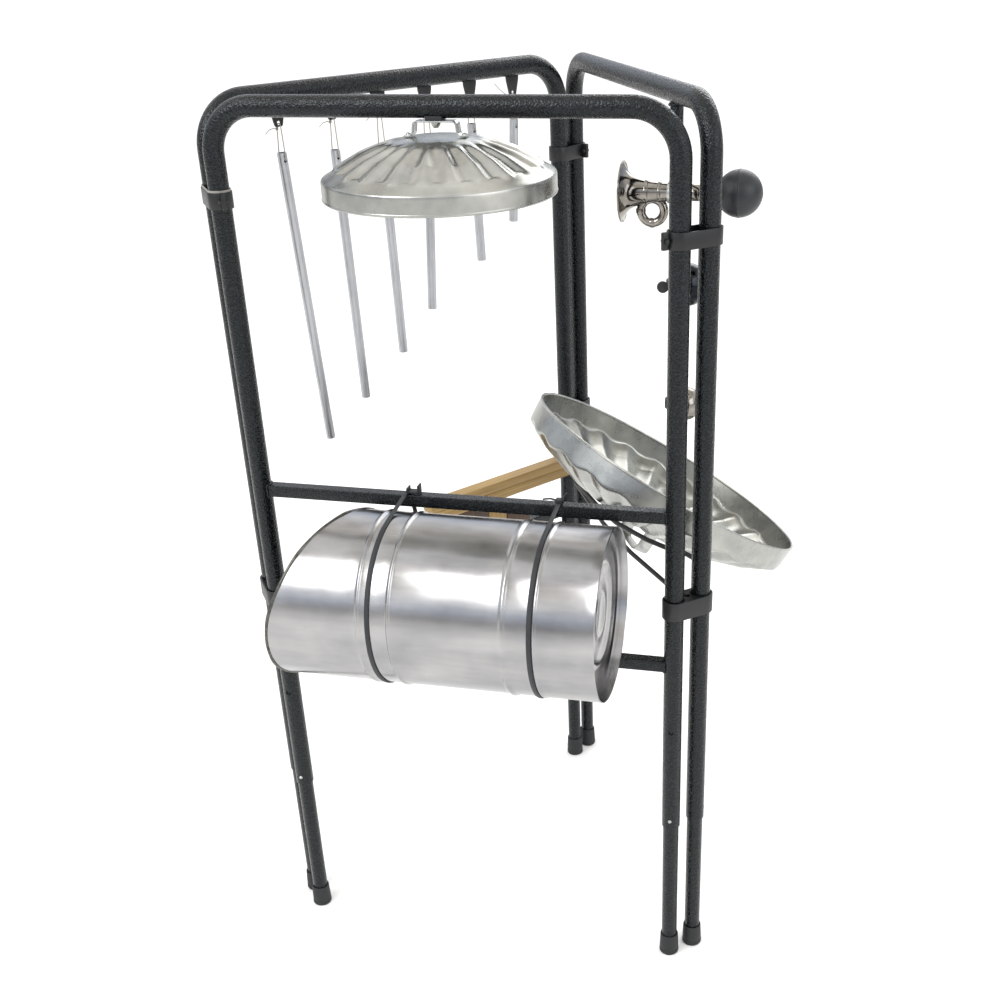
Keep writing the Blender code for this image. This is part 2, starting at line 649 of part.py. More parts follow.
bulb_profile = [(5.6, bulb_x - 39), (8.6, bulb_x - 39), (9.0, bulb_x - 33)]
for k in range(7):
    a = math.radians(152 - 152 * k / 6)
    bulb_profile.append((BULB_R * math.sin(a) if k < 6 else 0, bulb_x + BULB_R * math.cos(a)))
for k in range(6):
    a = math.radians(0 + 150 * k / 5)
    bulb_profile.append((25.2 * math.sin(a) if k else 0, bulb_x + 25.2 * math.cos(a)))
bulb_profile.append((5.6, bulb_x - 26))
finish("horn_bulb", lathe(bulb_profile, 16, "X", (0, HORN_Y, HORN_Z)), "black_rubber", WORLD,
       (hx + 102.0, HORN_Y, HORN_Z))
ring_post = combine(rod((PX, PY, HORN_Z - 7), (PX, PY, HORN_Z + 7), 10.4, 16),
                    [("UNION", rod((PX - 6, HORN_Y, HORN_Z), (PX + 6, HORN_Y, HORN_Z), 12.6, 16)),
                     ("DIFFERENCE", rod((PX, PY, HORN_Z - 20), (PX, PY, HORN_Z + 20), POST_R + 0.45, 16)),
                     ("DIFFERENCE", rod((PX - 20, HORN_Y, HORN_Z), (PX + 20, HORN_Y, HORN_Z), 11.5, 16))])
finish("horn_clamp", ring_post, "plated_steel", WORLD, (PX, PY, HORN_Z))


# ---- two handlebar bells ----------------------------------------------------------------------------------
def bell(tag, z, radius, depth):
    cx = PX + 21.0
    base = combine(rod((PX, PY, z - 6), (PX, PY, z + 6), 10.4, 16), [
        ("UNION", rod((PX + 6, PY, z), (cx, PY, z), 5.0, 8)),
        ("UNION", lathe([(0, 0), (11.5, 0), (11.5, 2.6), (2.4, 2.6), (2.4, depth - 2.0), (0, depth - 2.0)], 12, "X",
                        (cx - 6, PY, z))),
        ("DIFFERENCE", rod((PX, PY, z - 20), (PX, PY, z + 20), POST_R + 0.45, 16)),
    ])
    finish(tag + "_base", base, "black_strap", WORLD, (PX, PY, z))
    prof = []
    steps = 5
    for k in range(steps + 1):
        a = math.pi / 2 * k / steps
        prof.append((radius * math.cos(a) if k < steps else 0, depth * math.sin(a)))
    for k in range(steps, -1, -1):
        a = math.pi / 2 * k / steps
        prof.append(((radius - 1.2) * math.cos(a) if k < steps else 0, (depth - 1.2) * math.sin(a)))
    dome = lathe(prof, 16, "X", (cx - 6 + 3.2, PY, z))
    finish(tag + "_dome", dome, "plated_steel", WORLD, (cx - 6 + 3.2, PY, z))


bell("bell", BELL_Z, 26.0, 22.0)
bell("small_bell", BELL2_Z, 21.0, 18.0)
lx, ly = PX + 18.4, PY - 14.5
lever = combine(box(lx - 30, lx + 3.0, ly - 0.9, ly + 0.9, BELL_Z - 4.5, BELL_Z + 3.5), [
    ("UNION", rod((lx, ly, BELL_Z - 4.5), (lx, ly, BELL_Z + 3.5), 2.6, 8)),
    ("UNION", lathe([(0, 0), (5.5, 0), (5.5, 2.4), (0, 2.4)], 10, "-Y", (lx - 31, ly + 1.2, BELL_Z - 0.5))),
])
finish("bell_lever", lever, "black_strap", WORLD, (lx, ly, BELL_Z))

# ---- wooden scraper on the left panel: a top rail and three stepped upright bars -----------------
rail_wood = box(left_x(546), left_x(262), 8.6, 31.0, 573.0, 603.0)
finish("scraper_top_rail", rail_wood, "pale_wood", FRAMES["left"], (left_x(404), 20, 573))
for i, (s0, s1, top, wood) in enumerate(((312.0, 373.0, 572.7, "dark_wood"), (375.0, 409.0, 556.0, "pale_wood"),
                                         (411.0, 457.0, 540.0, "dark_wood")), 1):
    bar_wood = box(left_x(s1), left_x(s0), 8.6, 24.0, 452.0, top)
    finish("scraper_bar_%d" % i, bar_wood, wood, FRAMES["left"], (left_x((s0 + s1) / 2), 16, 452))
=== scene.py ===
import math

import bpy
from mathutils import Matrix, Vector


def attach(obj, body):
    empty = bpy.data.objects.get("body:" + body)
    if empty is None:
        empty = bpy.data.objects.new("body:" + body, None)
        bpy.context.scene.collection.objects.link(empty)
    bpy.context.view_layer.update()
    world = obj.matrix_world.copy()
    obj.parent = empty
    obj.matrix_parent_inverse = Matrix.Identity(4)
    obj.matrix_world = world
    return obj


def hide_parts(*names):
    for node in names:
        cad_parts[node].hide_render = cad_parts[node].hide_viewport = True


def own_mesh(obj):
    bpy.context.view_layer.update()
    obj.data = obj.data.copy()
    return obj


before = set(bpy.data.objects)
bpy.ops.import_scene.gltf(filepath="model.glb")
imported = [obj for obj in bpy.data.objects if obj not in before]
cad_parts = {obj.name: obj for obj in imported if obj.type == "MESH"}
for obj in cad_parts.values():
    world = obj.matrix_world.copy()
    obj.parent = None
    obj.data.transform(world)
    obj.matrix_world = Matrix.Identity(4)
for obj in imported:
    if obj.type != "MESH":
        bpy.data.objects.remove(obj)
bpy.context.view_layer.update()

# ---- Viewpoint ---------------------------------------------------------------
# A person standing in front of the stand and a little to its right, looking
# slightly down on the dish and the hod.  Pieces are drawn in millimetres in the
# place where they are made, then set down in metres.
CENTRE_X, CENTRE_Y = -47.686, -176.856


def spot(x=0.0, y=0.0, z=0.0, turn=0.0):
    return (Matrix.Translation(((x + CENTRE_X) / 1000, (y + CENTRE_Y) / 1000, z / 1000))
            @ Matrix.Rotation(math.radians(turn), 4, "Z") @ Matrix.Scale(0.001, 4))


view = bpy.data.objects.new("viewpoint", bpy.data.cameras.new("viewpoint"))
bpy.context.scene.collection.objects.link(view)
right, up, ahead = (Vector((0.97372, 0.22614, -0.02677)), Vector((-0.08295, 0.46170, 0.88312)),
                    Vector((-0.21208, 0.85771, -0.46833)))
place = Matrix((right, up, -ahead)).transposed().to_4x4()
place.translation = spot(494.81, -1473.04, 1387.33).to_translation()
view.matrix_world = place
view.data.sensor_width = 36
view.data.lens = 46.62
view.data.shift_x, view.data.shift_y = -0.0624, 0.1004
view.data.clip_end = 50
bpy.context.scene.camera = view

# ---- Three bent-tube panels ----------------------------------------------------
# Each is one hoop of 1 inch steel tube, bent cold at its two top corners, with
# 16 mm square rails welded across.  It is stove-finished in dark grey hammertone
# powder coat, so the light breaks up on a skin of small dimples.
TUBE, WALL, HALF, TOP, BEND = 12.7, 1.4, 280.0, 1200.0, 55.0
RIGHT_TURN, LEFT_TURN = 118.5, 53.8


def middle(x, y, turn):
    a = math.radians(turn)
    return x + math.cos(a) * HALF, y + math.sin(a) * HALF


PANEL = {"front": spot(),
         "right": spot(*middle(310.5, 26.5, RIGHT_TURN), 0, RIGHT_TURN),
         "left": spot(*middle(-304.0, 32.5, LEFT_TURN), 0, LEFT_TURN + 180)}


def tone(code):
    parts = [int(code[i:i + 2], 16) / 255 for i in (1, 3, 5)]
    return [c / 12.92 if c <= 0.04045 else ((c + 0.055) / 1.055) ** 2.4 for c in parts] + [1.0]


# adds one shader node with its settings and its incoming links
def add(tree, kind, settings=(), links=()):
    n = tree.nodes.new("ShaderNode" + kind)
    for key, value in dict(settings).items():
        if isinstance(key, str) and hasattr(n, key):
            setattr(n, key, value)
        else:
            n.inputs[key].default_value = value
    for key, source in dict(links).items():
        tree.links.new(source, n.inputs[key])
    return n


def surface(name, low, high, metal, rough, grain, depth, stretch=(1, 1, 1), turn=0.0, kind="Noise", blotch=60.0,
            dirt=0.35):
    """low..high: hex colours; rough: low, high; grain, depth, blotch in millimetres."""
    m = bpy.data.materials.new(name)
    m.use_nodes = True
    t = m.node_tree
    s = t.nodes["Principled BSDF"]
    s.inputs["Metallic"].default_value = metal
    at = add(t, "TexCoord").outputs["Object"]
    turned_at = add(t, "Mapping", {"Rotation": (0, 0, math.radians(turn))}, {"Vector": at}).outputs[0]
    along = add(t, "Mapping", {"Scale": stretch}, {"Vector": turned_at}).outputs[0]
    if kind == "Noise":
        fine = add(t, "TexNoise", {"Scale": 1000 / grain, "Detail": 4.0, "Roughness": 0.6}, {"Vector": along})
        value = fine.outputs[0]
    else:
        wobble = add(t, "TexNoise", {"Scale": 700 / grain, "Detail": 1.0}, {"Vector": along})
        push = add(t, "VectorMath", {"operation": "MULTIPLY_ADD", 1: (grain / 1500,) * 3},
                   {0: wobble.outputs["Color"], 2: along})
        fine = add(t, "TexVoronoi", {"feature": "SMOOTH_F1", "Scale": 1000 / grain, "Smoothness": 0.6},
                   {"Vector": push.outputs[0]})
        value = fine.outputs["Distance"]
    wide = add(t, "TexNoise", {"Scale": 1000 / blotch, "Detail": 3.0}, {"Vector": at})
    both = add(t, "Mix", {"data_type": "FLOAT", 0: dirt}, {2: value, 3: wide.outputs[0]})
    ramp = add(t, "ValToRGB", (), {0: both.outputs[0]})
    ramp.color_ramp.elements[0].position, ramp.color_ramp.elements[0].color = 0.3, tone(low)
    ramp.color_ramp.elements[1].position, ramp.color_ramp.elements[1].color = 0.7, tone(high)
    t.links.new(ramp.outputs[0], s.inputs["Base Color"])
    span = add(t, "MapRange", {1: 0.3, 2: 0.7, 3: rough[0], 4: rough[1]}, {0: both.outputs[0]})
    t.links.new(span.outputs[0], s.inputs["Roughness"])
    bump = add(t, "Bump", {"Strength": 0.7, "Distance": depth / 1000}, {"Height": value})
    t.links.new(bump.outputs[0], s.inputs["Normal"])
    return m


# selects only these objects and makes the first one active
def pick(*obs):
    bpy.ops.object.select_all(action="DESELECT")
    for o in obs:
        o.select_set(True)
    bpy.context.view_layer.objects.active = obs[0]


# a new selected object from a list of vertices, edges or faces
def fresh(name, verts, edges=(), faces=()):
    me = bpy.data.meshes.new(name)
    me.from_pydata([tuple(v) for v in verts], edges, faces)
    ob = bpy.data.objects.new(name, me)
    bpy.context.scene.collection.objects.link(ob)
    pick(ob)
    return ob


# adds one modifier and applies it straight away
def modify(ob, kind, **settings):
    m = ob.modifiers.new(kind, kind)
    for key, value in settings.items():
        setattr(m, key, value)
    pick(ob)
    bpy.ops.object.modifier_apply(modifier=m.name)


# welds doubled vertices and turns the faces outwards, or inwards for a cavity
def tidy(ob, inside=False):
    pick(ob)
    bpy.ops.object.mode_set(mode="EDIT")
    bpy.ops.mesh.select_all(action="SELECT")
    bpy.ops.mesh.remove_doubles(threshold=0.002)
    bpy.ops.mesh.normals_make_consistent(inside=inside)
    bpy.ops.object.mode_set(mode="OBJECT")


# a path of points with every inner corner replaced by an arc
def rounded(points, corner, closed=False, steps=8):
    out, n = [], len(points)
    for i, p in enumerate(points):
        p = Vector(p)
        if not closed and i in (0, n - 1):
            out.append(p)
            continue
        a, b = Vector(points[i - 1]) - p, Vector(points[(i + 1) % n]) - p
        angle = a.angle(b)
        if angle > math.pi - 0.03 or corner <= 0:
            out.append(p)
            continue
        t = min(corner / math.tan(angle / 2), a.length * 0.49, b.length * 0.49)
        a, b = a.normalized(), b.normalized()
        c = p + (a + b).normalized() * (t / math.cos(angle / 2))
        u, v = p + a * t - c, p + b * t - c
        w = u.angle(v)
        out += [c + (u * math.sin((1 - k / steps) * w) + v * math.sin(k / steps * w)) / math.sin(w)
                for k in range(steps + 1)]
    return out


# round stock bent along a path: tube, rod, cord and weld beads
def bar(name, points, radius, corner=0.0, sides=20, closed=False, caps=True, steps=8):
    cu = bpy.data.curves.new(name, "CURVE")
    cu.dimensions = "3D"
    path = rounded(points, corner, closed, steps)
    sp = cu.splines.new("POLY")
    sp.points.add(len(path) - 1)
    for q, p in zip(sp.points, path):
        q.co = (*p, 1)
    sp.use_cyclic_u = closed
    cu.bevel_depth, cu.bevel_resolution, cu.use_fill_caps = radius, (sides - 4) // 2, caps
    ob = bpy.data.objects.new(name, cu)
    bpy.context.scene.collection.objects.link(ob)
    pick(ob)
    bpy.ops.object.convert(target="MESH")
    ob = bpy.context.view_layer.objects.active
    tidy(ob)
    return ob


# a box between two corners with its edges rounded
def block(name, low, high, edge=0.8, segments=3):
    low, high = Vector(low), Vector(high)
    bpy.ops.object.select_all(action="DESELECT")
    bpy.ops.mesh.primitive_cube_add(size=1, location=(low + high) / 2)
    ob = bpy.context.view_layer.objects.active
    ob.name = name
    ob.scale = high - low
    bpy.ops.object.transform_apply(location=True, rotation=True, scale=True)
    modify(ob, "BEVEL", width=edge, segments=segments)
    return ob


def join(*obs):
    pick(*obs)
    bpy.ops.object.join()
    return bpy.context.view_layer.objects.active


# cuts each cutter's shape out of the object and removes the cutter
def pierce(ob, *cutters):
    for c in cutters:
        modify(ob, "BOOLEAN", operation="DIFFERENCE", solver="EXACT", object=c)
        bpy.data.objects.remove(c, do_unlink=True)


# places a finished piece, gives it its material, hangs it on the body it rides on and hides the CAD parts it stands
# in for
def fit(ob, where, material, body="stand", nodes=(), angle=38):
    ob.data.transform(where @ ob.matrix_basis)
    ob.matrix_basis = Matrix.Identity(4)
    ob.data.materials.clear()
    ob.data.materials.append(material)
    pick(ob)
    bpy.ops.object.shade_smooth_by_angle(angle=math.radians(angle))
    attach(ob, body)
    if nodes:
        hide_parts(*nodes)
    return ob


hammertone = surface("hammertone powder coat", "#020303", "#1b2125", 0.45, (0.2, 0.32), 2.2, 1.0, kind="Voronoi",
                     dirt=0.1)
black_steel = surface("black painted steel", "#060708", "#121517", 0.1, (0.32, 0.46), 1.2, 0.05)

for name, node in (("front", "front_frame"), ("left", "left_frame"), ("right", "right_frame")):
    hoop = bar(name + "_hoop", [(-HALF, 0, 236), (-HALF, 0, TOP), (HALF, 0, TOP), (HALF, 0, 236)], TUBE, BEND, 40,
               caps=False, steps=16)
    modify(hoop, "SOLIDIFY", thickness=WALL, offset=-1)
    for x in (-HALF, HALF):
        for z in (249, 399):
            pierce(hoop, bar("drill", [(x, -30, z), (x, -4, z)], 3.6, sides=24))
    fit(hoop, PANEL[name], hammertone, nodes=(node,))
    for z in {"front": (715, 499), "left": (499,), "right": ()}[name]:
        rail = block("%s_rail_%d" % (name, z), (-HALF + 9, -8, z - 8), (HALF - 9, 8, z + 8), 1.2, 3)
        # the rail's ends are coped to the uprights, so the inner legs pass them
        pierce(rail, *[bar("cope", [(x, 0, z - 20), (x, 0, z + 20)], 12.0, sides=64) for x in (-HALF, HALF)])
        beads = []
        for sx in (-1, 1):
            # a fillet of weld where the square rail meets the round upright, clear of the bore
            edge = [(sx * (HALF - math.sqrt(TUBE ** 2 - y * y) - 0.7), y, z + s) for y, s in
                    ((-8, -8), (-8, 8), (-4, 8.2), (0, 8.2), (4, 8.2), (8, 8), (8, -8), (4, -8.2), (0, -8.2),
                     (-4, -8.2))]
            beads.append(bar("weld", edge, 1.7, 2.0, 10, closed=True, steps=4))
        fit(join(rail, *beads), PANEL[name], hammertone)

# the post that carries the horn and bells, and the two rods the dish lies in
POST_X = 115.4 - HALF
post = bar("inner_post", [(POST_X, 0, 1190), (POST_X, 0, 776.5)], 8.0, sides=28)
modify(post, "BEVEL", width=1.2, segments=3, limit_method="ANGLE")
collar = bar("post_weld", [(POST_X + 9 * math.cos(a), 9 * math.sin(a), 1188.6 - 2.6 * abs(math.sin(a)))
                           for a in [k * math.pi / 8 for k in range(16)]], 1.5, sides=10, closed=True)
fit(join(post, collar), PANEL["right"], hammertone)
LOWER = [(12, 0), (109, -9), (163, -17), (217, -25), (330, -33), (405, -31), (490, -29), (508, -24), (522, -10),
         (548, 0)]
UPPER = [(12, -2), (35, -9), (59, -27), (90, -43), (130, -57), (157, -66), (225, -74), (280, -77), (335, -74),
         (403, -66), (450, -50), (490, -24), (518, -7), (548, -1)]
for label, line, z in (("lower", LOWER, 560), ("upper", UPPER, 640)):
    rod = bar("dish_rod_" + label, [(s - HALF, -n, z) for s, n in line], 3.4, 40, 16, steps=5)
    fit(rod, PANEL["right"], black_steel)

# ---- Chime tabs ------------------------------------------------------------------
# Six tapered plates pressed from black steel and welded under the left panel's
# top tube, each with a plain hole near its tip for a cord.
CHIME_S = (100.0, 178.0, 250.0, 325.0, 401.0, 476.0)
TAB_HOLE = 1165.5
for i, s in enumerate(CHIME_S, 1):
    x = HALF - s
    side = [(x - 11, 1190), (x + 11, 1190), (x + 10.5, 1183), (x + 5.2, 1161), (x - 5.2, 1161), (x - 10.5, 1183)]
    side = rounded([(a, 0, b) for a, b in side], 3.2, closed=True, steps=5)
    tab = fresh("chime_tab_%d" % i, side, faces=[list(range(len(side)))])
    modify(tab, "SOLIDIFY", thickness=3.0, offset=0)
    tidy(tab)
    pierce(tab, bar("drill", [(x, -9, TAB_HOLE), (x, 9, TAB_HOLE)], 2.6, sides=24))
    modify(tab, "BEVEL", width=0.35, segments=2, limit_method="ANGLE")
    fit(tab, PANEL["left"], black_steel)

# ---- Telescoping legs, ferrules and snap buttons ------------------------------------
# A 7/8 inch tube slides in each upright, stands in a moulded rubber ferrule and is
# held at one of two heights by a plated spring button.
rubber = surface("vulcanised rubber", "#101112", "#222425", 0.0, (0.55, 0.75), 0.9, 0.06)
zinc = surface("zinc plated steel", "#8d8f8f", "#c9cac6", 1.0, (0.22, 0.38), 1.6, 0.02, blotch=14)
UPRIGHT = {"front_left": ("front", -HALF), "front_right": ("front", HALF), "right_front": ("right", -HALF),
           "right_rear": ("right", HALF), "left_rear": ("left", -HALF), "left_front": ("left", HALF)}


# an outline of radius and height spun round the Z axis
def turned(name, profile, steps=64, closed=False):
    n = len(profile)
    ob = fresh(name, [(r, 0, z) for r, z in profile], [(k, (k + 1) % n) for k in range(n if closed else n - 1)])
    bpy.ops.object.mode_set(mode="EDIT")
    bpy.ops.mesh.select_all(action="SELECT")
    bpy.ops.mesh.spin(steps=steps, angle=2 * math.pi, center=(0, 0, 0), axis=(0, 0, 1))
    bpy.ops.object.mode_set(mode="OBJECT")
    tidy(ob)
    return ob


for tag, (side, x) in UPRIGHT.items():
    leg = turned("inner_leg_" + tag, [(10.0, 8.5), (11.1, 8.5), (11.1, 414.4), (10.6, 415), (10.0, 415)], 40, True)
    leg.data.transform(Matrix.Translation((x, 0, 0)))
    pierce(leg, bar("drill", [(x, -30, 249), (x, -4, 249)], 3.6, sides=24))
    fit(leg, PANEL[side], hammertone, "leg_" + tag, ("leg_" + tag,))
    ferrule = turned("ferrule_" + tag, [(0, 0), (11.8, 0), (13.6, 0.7), (14.3, 2.2), (14.2, 6.6), (13.6, 7.6),
                                        (13.6, 8.8),
                                        (14.0, 9.6), (13.6, 20), (13.1, 31), (12.9, 33.2), (12.2, 34), (11.5, 33.4),
                                        (11.5, 8.2), (0, 8.2)], 56)
    ferrule.data.transform(Matrix.Translation((x, 0, 0)))
    fit(ferrule, PANEL[side], rubber, "leg_" + tag, ("foot_" + tag,))
    button = turned("snap_button_" + tag, [(0, 0), (1.2, 0.12), (2.1, 0.6), (2.7, 1.4), (2.9, 2.4), (2.9, 7.6),
                                           (0, 7.6)], 32)
    button.data.transform(Matrix.Translation((x, -14.3, 249)) @ Matrix.Rotation(-math.pi / 2, 4, "X"))
    leaf = [(x, -7.4, 244), (x, -7.4, 256), (x, 3.6, 294)]
    leaf = fresh("leaf", [(a + dx, b, c) for a, b, c in leaf for dx in (-3, 3)], faces=[(0, 1, 3, 2), (2, 3, 5, 4)])
    modify(leaf, "SOLIDIFY", thickness=0.8)
    fit(join(button, leaf), PANEL[side], zinc, "button_" + tag, ("button_" + tag,))

# ---- Corner straps and clips ------------------------------------------------------------
# Where two panels meet, a strap of black painted steel is pinched round both tubes
# by a bolt near the top, and a moulded nylon clip snaps over them lower down.
nylon = surface("moulded black nylon", "#08090a", "#151719", 0.0, (0.36, 0.52), 0.7, 0.04)
felt = surface("grey felt liner", "#6c6a66", "#a3a09a", 0.0, (0.75, 0.9), 1.0, 0.15)


def foot_of(side, x):
    p = PANEL[side] @ Vector((x, 0, 0))
    return Vector((p.x * 1000 - CENTRE_X, p.y * 1000 - CENTRE_Y, 0))


def oval(p, q, r, z, n=20):
    d = (q - p).normalized()
    a0 = math.atan2(d.y, d.x)
    return [Vector((c.x + r * math.cos(a), c.y + r * math.sin(a), z)) for c, base in
            ((q, a0 - math.pi / 2), (p, a0 + math.pi / 2)) for a in [base + math.pi * k / n for k in range(n + 1)]]


for tag, a, b, zs, zc in (("front_left", "front_left", "left_front", 1093, 552),
                          ("front_right", "front_right", "right_front", 1059, 586),
                          ("rear", "left_rear", "right_rear", 1073, 668)):
    p, q = foot_of(*UPRIGHT[a]), foot_of(*UPRIGHT[b])
    mid, d = (p + q) / 2, (q - p).normalized()
    n = Vector((-d.y, d.x, 0))
    low = oval(p, q, 13.1, zs - 10)
    band = fresh("corner_strap_" + tag, low + [v + Vector((0, 0, 20)) for v in low],
                 faces=[(k, (k + 1) % len(low), len(low) + (k + 1) % len(low), len(low) + k)
                        for k in range(len(low))])
    modify(band, "SOLIDIFY", thickness=2.2, offset=1)
    modify(band, "BEVEL", width=0.4, segments=2, limit_method="ANGLE", angle_limit=math.radians(50))
    # the two ends of the strap meet in a square tab with its own pinch bolt
    corner, away = (q, -n) if tag == "rear" else (p, -d)
    across = Vector((-away.y, away.x, 0))
    tab = fresh("tab", [corner + away * e + across * w + Vector((0, 0, h)) for e in (14.0, 24.0) for w in (-2.4, 2.4)
                        for h in (-10, 10)],
                faces=[(0, 1, 3, 2), (4, 6, 7, 5), (0, 4, 5, 1), (2, 3, 7, 6), (0, 2, 6, 4), (1, 5, 7, 3)])
    tidy(tab)
    modify(tab, "BEVEL", width=0.8, segments=2)
    eye = corner + away * 19.6
    pinch = bar("pinch_bolt", [eye - across * 6, eye + across * 6], 2.9, sides=6)
    modify(pinch, "BEVEL", width=0.4, segments=2)
    washers = [bar("washer", [eye + across * e * 2.4, eye + across * e * 3.2], 3.9, sides=28) for e in (-1, 1)]
    parts = [band, tab, pinch, *washers]
    for v in parts[1:]:
        v.data.transform(Matrix.Translation((0, 0, zs)))
    if tag == "front_left":
        # a strip of felt under this strap stands a little above it
        liner = oval(p, q, 13.0, zs + 8)
        liner = fresh("strap_liner", liner + [v + Vector((0, 0, 4.5)) for v in liner],
                      faces=[(k, (k + 1) % len(low), len(low) + (k + 1) % len(low), len(low) + k)
                             for k in range(len(low))])
        modify(liner, "SOLIDIFY", thickness=1.1, offset=1)
        fit(liner, spot(), felt)
    fit(join(*parts), spot(), black_steel, nodes=("strap_" + tag,))
    shape = oval(p, q, 15.9, zc - 13)
    clip = fresh("corner_clip_" + tag, shape, faces=[list(range(len(shape)))])
    bpy.ops.object.mode_set(mode="EDIT")
    bpy.ops.mesh.select_all(action="SELECT")
    bpy.ops.mesh.extrude_region_move(TRANSFORM_OT_translate={"value": (0, 0, 26)})
    bpy.ops.object.mode_set(mode="OBJECT")
    tidy(clip)
    for c, r in ((p, 13.0), (q, 13.0), (mid, 4.0)):
        pierce(clip, bar("drill", [(c.x, c.y, zc - 30), (c.x, c.y, zc + 30)], r, sides=48))
    modify(clip, "BEVEL", width=0.9, segments=3, limit_method="ANGLE", angle_limit=math.radians(50))
    fit(clip, spot(), nylon, nodes=("clip_" + tag,))

# ---- Chimes ---------------------------------------------------------------------------
# Six lengths of half-inch drawn aluminium tube, saw-cut, deburred and drilled across
# near the top, each hung from its tab on a knotted loop of white nylon cord.
aluminium = surface("drawn aluminium", "#9c9ea2", "#c3c5c8", 1.0, (0.30, 0.42), 1.4, 0.015, stretch=(1, 1, 0.03),
                    blotch=40)
cord_white = surface("twisted nylon cord", "#75716a", "#aaa598", 0.0, (0.6, 0.8), 0.8, 0.15, stretch=(1, 1, 0.6))
CHIMES = [(1130, 389, 3.4), (1124, 338, 1.5), (1121, 284, 1.3), (1120, 232, -3.4), (1132, 190, 1.4),
          (1130, 142, -3.6)]
for i, (s, (top, length, lean)) in enumerate(zip(CHIME_S, CHIMES), 1):
    x, tie = HALF - s, top - 9.0
    tube = turned("chime_tube_%d" % i, [(4.7, 9 - length), (5.9, 9 - length), (6.25, 9.35 - length), (6.25, 8.65),
                                        (5.9, 9), (4.7, 9)], 48, True)
    pierce(tube, bar("drill", [(0, -12, -0.9), (0, 12, -0.9)], 2.0, sides=20))
    fit(tube, PANEL["left"] @ Matrix.Translation((x, 0, tie)) @ Matrix.Rotation(math.radians(lean), 4, "Y"),
        aluminium, "chime_%d" % i, ("chime_%d" % i,))
    z = TAB_HOLE - 0.8
    loop = [(x, -2.2, z), (x, 2.2, z), (x, 4.4, z - 2.4), (x, 5.0, z - 6), (x, 8.0, tie + 6), (x, 7.8, tie + 1.4),
            (x, 6.6, tie), (x, -6.6, tie), (x, -7.8, tie + 1.4), (x, -8.0, tie + 6), (x, -5.0, z - 6),
            (x, -4.4, z - 2.4)]
    cord = bar("chime_cord_%d" % i, loop, 0.7, 1.2, 10, closed=True, steps=3)
    knot = [(x + 1.5 * math.cos(a), -5.4 + 1.2 * math.sin(a), z - 8 + 0.28 * k)
            for k, a in enumerate([j * 0.9 for j in range(15)])]
    tail = {5: [(x, -5.6, z - 8), (x - 4, -8, z - 7), (x - 22, -10, z - 8.5), (x - 38, -10, z - 7)],
            6: [(x, -5.6, z - 8), (x + 4, -8, z - 3), (x + 13, -10, z + 4), (x + 24, -10, z + 14)]}
    tail = tail.get(i, [(x, -5.6, z - 8), (x + 3, -7.5, z - 6.0), (x + 9, -9.0, z - 7.5), (x + 15, -9.0, z - 12)])
    fit(join(cord, bar("knot", knot, 0.65, sides=8), bar("tail", tail, 0.5, 3, 8)), PANEL["left"], cord_white,
        "cord_%d" % i, ("cord_%d" % i,))

# ---- Hanging lid ------------------------------------------------------------------------
# A small dustbin lid pressed from hot-dipped tinplate: a plain crown, fluted all round,
# then a straight skirt rolled over a wire.  Its bent-strip handle is bolted up through
# the front panel's top tube with a rubber saddle between.
tinplate = surface("pressed galvanised tinplate", "#898b89", "#b6b6b0", 1.0, (0.22, 0.34), 30.0, 0.04, blotch=80,
                   dirt=0.5)


def eased(points, times=2):
    pts = [Vector(p) for p in points]
    for _ in range(times):
        new = [pts[0]]
        for a, b in zip(pts, pts[1:]):
            new += [a * 0.75 + b * 0.25, a * 0.25 + b * 0.75]
        pts = new + [pts[-1]]
    return pts


def soft(a, b, v):
    u = min(1.0, max(0.0, (v - a) / (b - a)))
    return u * u * (3 - 2 * u)


def fluted_lid(name, profile, flutes, swell, power, inner, outer, reach, rim):
    fine = []
    for a, b in zip(profile, profile[1:]):
        cuts = max(1, int((Vector(b) - Vector(a)).length / 3.2))
        fine += [Vector(a).lerp(Vector(b), k / cuts) for k in range(cuts)]
    lid = turned(name, eased(fine + [Vector(profile[-1])], 1), flutes * 12)
    for v in lid.data.vertices:
        r, a = math.hypot(v.co.x, v.co.y), math.atan2(v.co.y, v.co.x)
        ridge = 0.5 + 0.5 * math.cos(flutes * a)
        edge = outer - reach * (1 - ridge) ** 1.6
        held = soft(inner, inner + (outer - inner) * 0.4, r) * (1 - soft(edge - 5, edge, r)) * soft(5, 26, v.co.z)
        v.co.z += swell * (2 * ridge ** power - 1) * held
    tidy(lid)
    modify(lid, "SOLIDIFY", thickness=0.8, offset=-1)
    wire = turned("wire", [(rim - 2.1 + 2.1 * math.cos(a), 2.1 + 2.1 * math.sin(a)) for a in
                           [k * math.pi / 5 for k in range(10)]], flutes * 6, True)
    return join(lid, wire)


def strip(name, points, width, thick, corner):
    path = rounded([(x, 0, z) for x, z in points], corner, steps=7)
    n = len(path)
    ob = fresh(name, [p + Vector((0, s * width / 2, 0)) for s in (-1, 1) for p in path],
               faces=[(k, k + 1, n + k + 1, n + k) for k in range(n - 1)])
    modify(ob, "SOLIDIFY", thickness=thick, offset=0)
    tidy(ob)
    modify(ob, "BEVEL", width=0.35, segments=2, limit_method="ANGLE", angle_limit=math.radians(50))
    return ob


